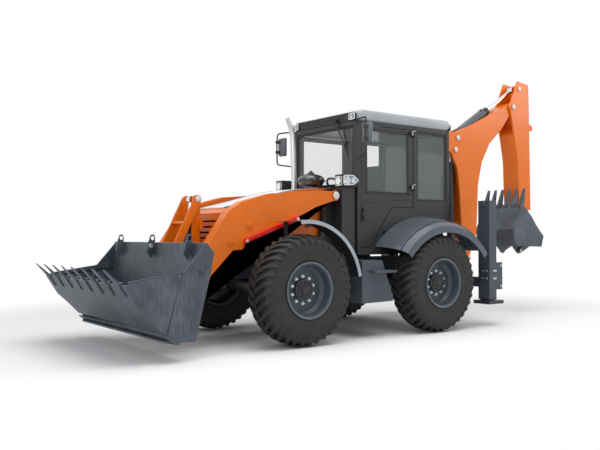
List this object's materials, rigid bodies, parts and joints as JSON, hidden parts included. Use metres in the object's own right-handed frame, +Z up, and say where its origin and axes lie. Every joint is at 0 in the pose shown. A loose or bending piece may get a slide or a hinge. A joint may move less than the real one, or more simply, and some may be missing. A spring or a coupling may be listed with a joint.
{
  "type": "backhoe loader",
  "caption": "Wheeled backhoe loader with equal steered wheels, a clam front bucket on lifting arms, a glazed cab and a side-shift backhoe folded up behind.",
  "frame": {"origin": "on the ground, at the middle of the machine's length and width", "axes": "+X forward (towards the loader bucket), +Y to the machine's left, +Z up"},
  "size_m": [8.269, 2.572, 3.9808],
  "materials": {
    "orange": "gloss",
    "slate": "satin",
    "black": "satin",
    "pale": "satin",
    "steel": "satin",
    "chrome": "gloss",
    "red": "gloss",
    "iron": "matte",
    "tyre": "matte",
    "plastic": "matte",
    "fabric": "matte",
    "lens": "gloss",
    "glass": "gloss"
  },
  "bodies": {
    "chassis": {"axles": "black", "cab_frame": "black", "cab_glass": "glass", "chassis": "slate", "console": "plastic", "engine": "iron", "exhaust": "steel", "hoe_frame": "slate", "hood": "orange", "hood_panel": "pale", "lamps": "lens", "mirrors": "plastic", "precleaner": "plastic", "rear_guards": "slate", "roof": "pale", "seat": "fabric", "side_tanks": "slate", "towers": "black"},
    "loader_arms": {"loader_arms": "orange", "lock_strut": "red"},
    "loader_bucket": {"loader_bucket": "slate"},
    "bucket_jaw": {"bucket_jaw": "slate"},
    "lift_barrels": {"lift_barrels": "black"},
    "lift_rods": {"lift_rods": "chrome"},
    "tilt_lever": {"tilt_lever": "orange"},
    "tilt_link": {"tilt_link": "orange"},
    "tilt_barrel": {"tilt_barrel": "black"},
    "tilt_rod": {"tilt_rod": "chrome"},
    "carriage": {"carriage": "slate"},
    "kingpost": {"kingpost": "orange"},
    "boom": {"boom": "orange"},
    "boom_barrel": {"boom_barrel": "black"},
    "boom_rod": {"boom_rod": "chrome"},
    "dipper": {"dipper": "orange"},
    "dipper_barrel": {"dipper_barrel": "slate"},
    "dipper_rod": {"dipper_rod": "chrome"},
    "crowd_barrel": {"crowd_barrel": "slate"},
    "crowd_rod": {"crowd_rod": "chrome"},
    "rocker": {"rocker": "slate"},
    "hoe_link": {"hoe_link": "slate"},
    "hoe_bucket": {"hoe_bucket": "slate"},
    "leg_left": {"leg_left": "black"},
    "leg_right": {"leg_right": "black"},
    "door_left": {"door_left": "black", "door_glass_left": "glass"},
    "door_right": {"door_right": "black", "door_glass_right": "glass"},
    "knuckle_front_left": {"knuckle_front_left": "slate"},
    "wheel_front_left": {"tyre_front_left": "tyre", "rim_front_left": "slate"},
    "knuckle_front_right": {"knuckle_front_right": "slate"},
    "wheel_front_right": {"tyre_front_right": "tyre", "rim_front_right": "slate"},
    "knuckle_rear_left": {"knuckle_rear_left": "slate"},
    "wheel_rear_left": {"tyre_rear_left": "tyre", "rim_rear_left": "slate"},
    "knuckle_rear_right": {"knuckle_rear_right": "slate"},
    "wheel_rear_right": {"tyre_rear_right": "tyre", "rim_rear_right": "slate"}
  },
  "joints": [
    {"name": "steer_front_left", "type": "hinge", "parent": "chassis", "child": "knuckle_front_left", "pos_m": [1.715, 0.8, 0.67], "axis": [0, 0, 1], "range_deg": [-22, 22]},
    {"name": "roll_front_left", "type": "hinge", "parent": "knuckle_front_left", "child": "wheel_front_left", "pos_m": [1.715, 1.035, 0.67], "axis": [0, 1, 0], "continuous": true},
    {"name": "steer_front_right", "type": "hinge", "parent": "chassis", "child": "knuckle_front_right", "pos_m": [1.715, -0.8, 0.67], "axis": [0, 0, 1], "range_deg": [-22, 22]},
    {"name": "roll_front_right", "type": "hinge", "parent": "knuckle_front_right", "child": "wheel_front_right", "pos_m": [1.715, -1.035, 0.67], "axis": [0, 1, 0], "continuous": true},
    {"name": "steer_rear_left", "type": "hinge", "parent": "chassis", "child": "knuckle_rear_left", "pos_m": [-0.555, 0.8, 0.67], "axis": [0, 0, 1], "range_deg": [-22, 22]},
    {"name": "roll_rear_left", "type": "hinge", "parent": "knuckle_rear_left", "child": "wheel_rear_left", "pos_m": [-0.555, 1.035, 0.67], "axis": [0, 1, 0], "continuous": true},
    {"name": "steer_rear_right", "type": "hinge", "parent": "chassis", "child": "knuckle_rear_right", "pos_m": [-0.555, -0.8, 0.67], "axis": [0, 0, 1], "range_deg": [-22, 22]},
    {"name": "roll_rear_right", "type": "hinge", "parent": "knuckle_rear_right", "child": "wheel_rear_right", "pos_m": [-0.555, -1.035, 0.67], "axis": [0, 1, 0], "continuous": true},
    {"name": "door_left", "type": "hinge", "parent": "chassis", "child": "door_left", "pos_m": [-0.5, 0.738, 2], "axis": [0, 0, 1], "range_deg": [0, 80]},
    {"name": "door_right", "type": "hinge", "parent": "chassis", "child": "door_right", "pos_m": [-0.5, -0.738, 2], "axis": [0, 0, -1], "range_deg": [0, 80]},
    {"name": "loader_lift", "type": "hinge", "parent": "chassis", "child": "loader_arms", "pos_m": [0.872, 0, 1.835], "axis": [0, -1, 0], "range_deg": [-4, 70]},
    {"name": "lift_barrel", "type": "hinge", "parent": "chassis", "child": "lift_barrels", "pos_m": [0.95, 0, 1.15], "axis": [0, -1, 0], "range_deg": [-3.97, 61.24]},
    {"name": "lift_rod", "type": "slide", "parent": "lift_barrels", "child": "lift_rods", "axis": [0.9985, 0, 0.054], "range_m": [-0.0466, 0.7487]},
    {"name": "loader_tilt", "type": "hinge", "parent": "loader_arms", "child": "loader_bucket", "pos_m": [2.95, 0, 0.5], "axis": [0, 1, 0], "range_deg": [-12, 75]},
    {"name": "tilt_lever", "type": "hinge", "parent": "loader_arms", "child": "tilt_lever", "pos_m": [2.64, 0, 1.13], "axis": [0, 1, 0], "range_deg": [-12.5, 75.5]},
    {"name": "tilt_link", "type": "hinge", "parent": "tilt_lever", "child": "tilt_link", "pos_m": [2.625, 0, 1.757], "axis": [0, -1, 0], "range_deg": [-12.5, 75.5]},
    {"name": "tilt_barrel", "type": "hinge", "parent": "loader_arms", "child": "tilt_barrel", "pos_m": [2.7, 0, 1], "axis": [0, 1, 0], "range_deg": [-10.94, 65.72]},
    {"name": "tilt_rod", "type": "slide", "parent": "tilt_barrel", "child": "tilt_rod", "axis": [-0.0986, 0, 0.9951], "range_m": [-0.1292, 0.024]},
    {"name": "jaw_open", "type": "hinge", "parent": "loader_bucket", "child": "bucket_jaw", "pos_m": [3.153, 0, 0.922], "axis": [0, -1, 0], "range_deg": [0, 65]},
    {"name": "leg_left", "type": "slide", "parent": "chassis", "child": "leg_left", "axis": [0, 0, -1], "range_m": [0, 0.5]},
    {"name": "leg_right", "type": "slide", "parent": "chassis", "child": "leg_right", "axis": [0, 0, -1], "range_m": [0, 0.5]},
    {"name": "side_shift", "type": "slide", "parent": "chassis", "child": "carriage", "axis": [0, 1, 0], "range_m": [-0.5, 0.5]},
    {"name": "swing", "type": "hinge", "parent": "carriage", "child": "kingpost", "pos_m": [-2.02, 0, 0.8], "axis": [0, 0, 1], "range_deg": [-80, 80]},
    {"name": "boom", "type": "hinge", "parent": "kingpost", "child": "boom", "pos_m": [-2.27, 0, 0.95], "axis": [0, -1, 0], "range_deg": [-5, 100]},
    {"name": "boom_barrel", "type": "hinge", "parent": "kingpost", "child": "boom_barrel", "pos_m": [-2.06, 0, 1.18], "axis": [0, -1, 0], "range_deg": [-5.59, 102.38]},
    {"name": "boom_rod", "type": "slide", "parent": "boom_barrel", "child": "boom_rod", "axis": [0.0126, 0, 0.9999], "range_m": [-0.0277, 0.4781]},
    {"name": "dipper", "type": "hinge", "parent": "boom", "child": "dipper", "pos_m": [-3.466, 0, 3.519], "axis": [0, 1, 0], "range_deg": [-8, 110]},
    {"name": "dipper_barrel", "type": "hinge", "parent": "boom", "child": "dipper_barrel", "pos_m": [-2.097, 0, 2.882], "axis": [0, 1, 0], "range_deg": [-0.94, 6.49]},
    {"name": "dipper_rod", "type": "slide", "parent": "dipper_barrel", "child": "dipper_rod", "axis": [-0.845, 0, 0.5348], "range_m": [-0.5863, 0.0463]},
    {"name": "hoe_bucket", "type": "hinge", "parent": "dipper", "child": "hoe_bucket", "pos_m": [-3.8, 0, 1.26], "axis": [0, 1, 0], "range_deg": [0, 150]},
    {"name": "rocker", "type": "hinge", "parent": "dipper", "child": "rocker", "pos_m": [-3.915, 0, 1.543], "axis": [0, 1, 0], "range_deg": [-0.5, 105.5]},
    {"name": "hoe_link", "type": "hinge", "parent": "rocker", "child": "hoe_link", "pos_m": [-4.026, 0, 1.25], "axis": [0, -1, 0], "range_deg": [-0.5, 40.85]},
    {"name": "crowd_barrel", "type": "hinge", "parent": "dipper", "child": "crowd_barrel", "pos_m": [-4.05, 0, 3.212], "axis": [0, 1, 0], "range_deg": [-0.5, 8.32]},
    {"name": "crowd_rod", "type": "slide", "parent": "crowd_barrel", "child": "crowd_rod", "axis": [0.0122, 0, -0.9999], "range_m": [-0.4439, 0.004]}
  ],
  "couplings": [
    {"joint": "steer_front_right", "follows": "steer_front_left", "ratio": 1},
    {"joint": "steer_rear_right", "follows": "steer_rear_left", "ratio": 1},
    {"joint": "lift_barrel", "follows": "loader_lift", "ratio": 0.86771},
    {"joint": "lift_rod", "follows": "loader_lift", "m_per_rad": 0.60956},
    {"joint": "tilt_lever", "follows": "loader_tilt", "ratio": 1},
    {"joint": "tilt_link", "follows": "loader_tilt", "ratio": 1},
    {"joint": "tilt_barrel", "follows": "loader_tilt", "ratio": 0.86954},
    {"joint": "tilt_rod", "follows": "loader_tilt", "m_per_rad": -0.095651},
    {"joint": "boom_barrel", "follows": "boom", "ratio": 1.0188},
    {"joint": "boom_rod", "follows": "boom", "m_per_rad": 0.27166},
    {"joint": "dipper_barrel", "follows": "dipper", "ratio": 0.054478},
    {"joint": "dipper_rod", "follows": "dipper", "m_per_rad": -0.30329},
    {"joint": "rocker", "follows": "hoe_bucket", "ratio": 0.7},
    {"joint": "hoe_link", "follows": "hoe_bucket", "ratio": 0.269},
    {"joint": "crowd_barrel", "follows": "hoe_bucket", "ratio": 0.052109},
    {"joint": "crowd_rod", "follows": "hoe_bucket", "m_per_rad": -0.16801}
  ]
}
